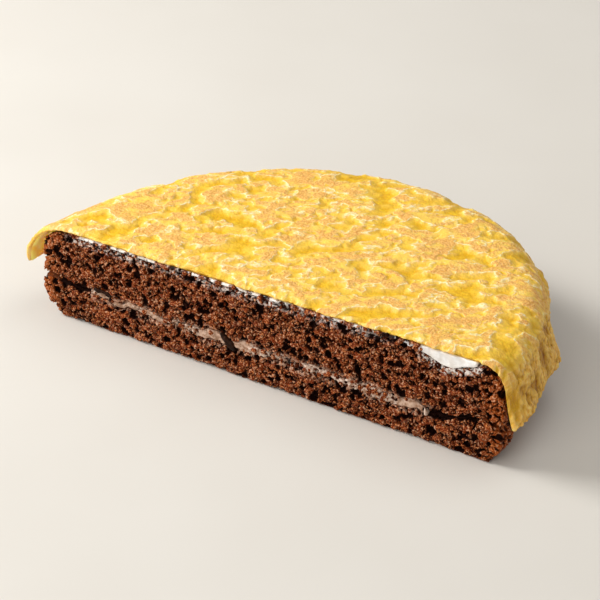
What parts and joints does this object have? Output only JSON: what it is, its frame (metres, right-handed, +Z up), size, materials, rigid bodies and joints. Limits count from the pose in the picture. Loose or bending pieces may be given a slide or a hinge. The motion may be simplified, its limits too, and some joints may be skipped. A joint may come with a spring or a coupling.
{
  "type": "crepe chiffon cake half",
  "caption": "Half of a round chocolate chiffon cake, cut face showing layers and cream, covered by a browned egg crepe that hangs round the side.",
  "frame": {"origin": "under the middle of the whole cake's box, on the surface that it stands on", "axes": "+X along the cut, to the right seen from the cut side; +Y from the cut to the round back; +Z up"},
  "size_m": [0.177, 0.091, 0.0351],
  "materials": {
    "sponge": "open porous cocoa crumb, matte",
    "filling": "smeared cream, satin, flecked with crumb",
    "cream": "whipped white cream, satin",
    "crepe": "blistered yellow crepe, browned on its raised parts, moist sheen",
    "chocolate": "dark chocolate, half gloss"
  },
  "bodies": {
    "root": {"sponge_lower": "sponge", "filling_cream": "filling", "sponge_upper": "sponge", "top_cream": "cream", "crepe": "crepe", "chocolate_chip_left": "chocolate", "chocolate_chip_middle": "chocolate"}
  },
  "joints": []
}
